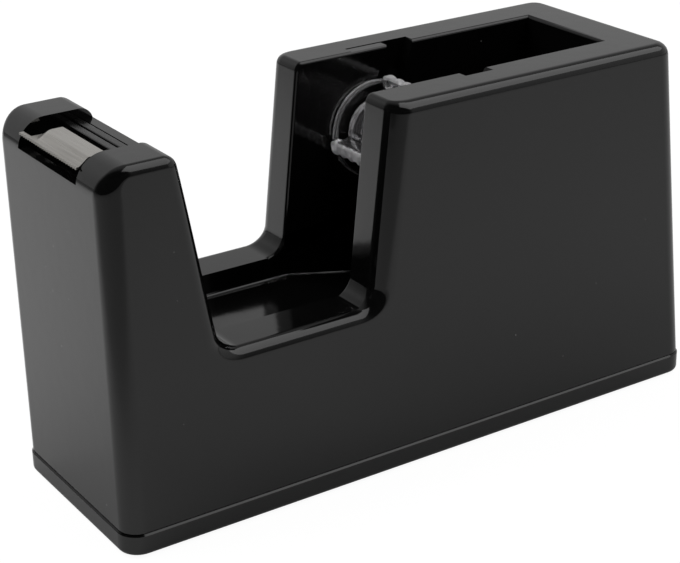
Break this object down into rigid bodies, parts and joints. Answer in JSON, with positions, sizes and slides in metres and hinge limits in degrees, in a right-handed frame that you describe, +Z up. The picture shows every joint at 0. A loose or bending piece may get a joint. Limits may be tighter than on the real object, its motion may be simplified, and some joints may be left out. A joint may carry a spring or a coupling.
{
  "type": "desk tape dispenser",
  "caption": "Weighted desk tape dispenser with a toothed steel cutter on a tower, a saddle, and a clear core that lifts out of an open roll housing.",
  "frame": {"origin": "on the resting surface, under the middle of the base", "axes": "+Z up; +X along the length, from the cutter tower to the roll housing; Y across, with the middle of the body at y = 0 and the blade's raised platform 1.6 mm towards -Y"},
  "size_m": [0.1536, 0.0506, 0.085],
  "materials": {
    "body_black": "glossy",
    "base_black": "satin",
    "bed_black": "satin",
    "clear_plastic": "clear, glossy",
    "blade_steel": "fine rolled",
    "screw_steel": "zinc plated",
    "weight_iron": "as cast",
    "pad_rubber": "matte"
  },
  "bodies": {
    "body": {"body_shell": "body_black", "cutter_bed": "bed_black", "cutter_blade": "blade_steel", "base_plate": "base_black", "non_slip_pad": "pad_rubber", "front_ballast": "weight_iron", "rear_ballast": "weight_iron", "base_screws": "screw_steel", "ballast_screws": "screw_steel"},
    "axle": {"spool_axle": "clear_plastic"},
    "core": {"spool_half_near": "clear_plastic", "spool_half_far": "clear_plastic"}
  },
  "joints": [
    {"name": "spool_lift", "type": "slide", "parent": "body", "child": "axle", "axis": [0.3765, 0, 0.9264], "range_m": [0, 0.04]},
    {"name": "core_spin", "type": "hinge", "parent": "axle", "child": "core", "pos_m": [0.011, 0, 0.0663], "axis": [0, 1, 0], "continuous": true}
  ]
}
